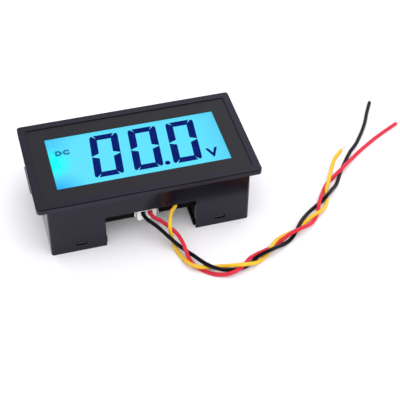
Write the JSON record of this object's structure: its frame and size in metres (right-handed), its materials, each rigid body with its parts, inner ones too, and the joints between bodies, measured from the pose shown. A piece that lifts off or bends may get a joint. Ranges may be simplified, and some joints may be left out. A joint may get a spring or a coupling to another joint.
{
  "type": "digital panel meter",
  "caption": "Snap-in digital voltmeter with a backlit liquid-crystal display, a two-legged rear case, sprung side latches and twisted supply and sense wires.",
  "frame": {"origin": "on the plane of the two rear feet, under the middle of the bezel", "axes": "+Z out of the display's face, +X along the bezel towards the unit sign, +Y up on the display"},
  "size_m": [0.1515, 0.0778, 0.0256],
  "materials": {
    "housing_plastic": "fine moulded charcoal plastic, slightly glossy on the walls",
    "overlay_film": "printed film with a fine texture",
    "polarizer_film": "satin polarising film",
    "cell_glass": "clear flat glass",
    "segment_ink": "dark blue switched segments",
    "seal_resin": "cured resin",
    "lit_diffuser": "lit pale cyan film",
    "light_guide": "clear moulded acrylic, lit cyan",
    "white_film": "white reflecting film",
    "lamp_resin": "clear resin lamp",
    "holder_plastic": "white moulded plastic",
    "contact_rubber": "layered silicone rubber",
    "board_laminate": "green solder mask over glass laminate",
    "chip_epoxy": "moulded black epoxy",
    "can_sleeve": "shrink sleeve over an aluminium can",
    "film_dip": "dipped resin",
    "trimmer_plastic": "blue moulded plastic",
    "screw_brass": "plain",
    "connector_nylon": "natural white nylon",
    "tinned_metal": "tin plated",
    "cover_plastic": "fine moulded black plastic",
    "latch_plastic": "springy black plastic",
    "black_insulation": "soft vinyl insulation",
    "red_insulation": "soft vinyl insulation",
    "yellow_insulation": "soft vinyl insulation"
  },
  "bodies": {
    "meter": {"housing": "housing_plastic", "front_overlay": "overlay_film", "lcd_front_polarizer": "polarizer_film", "lcd_front_glass": "cell_glass", "lcd_segments": "segment_ink", "lcd_edge_seal": "seal_resin", "lcd_rear_glass": "cell_glass", "lcd_rear_polarizer": "polarizer_film", "backlight_diffuser": "lit_diffuser", "backlight_guide": "light_guide", "backlight_reflector": "white_film", "backlight_lamp": "lamp_resin", "display_holder": "holder_plastic", "contact_strip_upper": "contact_rubber", "contact_strip_lower": "contact_rubber", "circuit_board": "board_laminate", "converter_chip": "chip_epoxy", "supply_capacitors": "can_sleeve", "film_capacitors": "film_dip", "chip_resistors": "chip_epoxy", "voltage_regulator": "chip_epoxy", "trimmer_body": "trimmer_plastic", "pin_header": "connector_nylon", "header_pins": "tinned_metal", "plug_housing": "connector_nylon", "plug_contacts": "tinned_metal", "solder_joint": "tinned_metal", "rear_cover": "cover_plastic", "black_wire": "black_insulation", "red_wire": "red_insulation", "yellow_wire": "yellow_insulation", "black_wire_tip": "tinned_metal", "red_wire_tip": "tinned_metal", "yellow_wire_tip": "tinned_metal"},
    "latch_left": {"latch_left": "latch_plastic"},
    "latch_right": {"latch_right": "latch_plastic"},
    "trimmer_screw": {"trimmer_screw": "screw_brass"}
  },
  "joints": [
    {"name": "left_latch_press", "type": "hinge", "parent": "meter", "child": "latch_left", "pos_m": [-0.03515, 0, 0.0076], "axis": [0, 1, 0], "range_deg": [0, 14], "stiffness_Nm_per_rad": 0.02},
    {"name": "right_latch_press", "type": "hinge", "parent": "meter", "child": "latch_right", "pos_m": [0.03515, 0, 0.0076], "axis": [0, -1, 0], "range_deg": [0, 14], "stiffness_Nm_per_rad": 0.02},
    {"name": "trimmer_turn", "type": "hinge", "parent": "meter", "child": "trimmer_screw", "pos_m": [0.024, 0.006, 0.0096], "axis": [0, 0, -1], "range_deg": [-135, 135]}
  ]
}
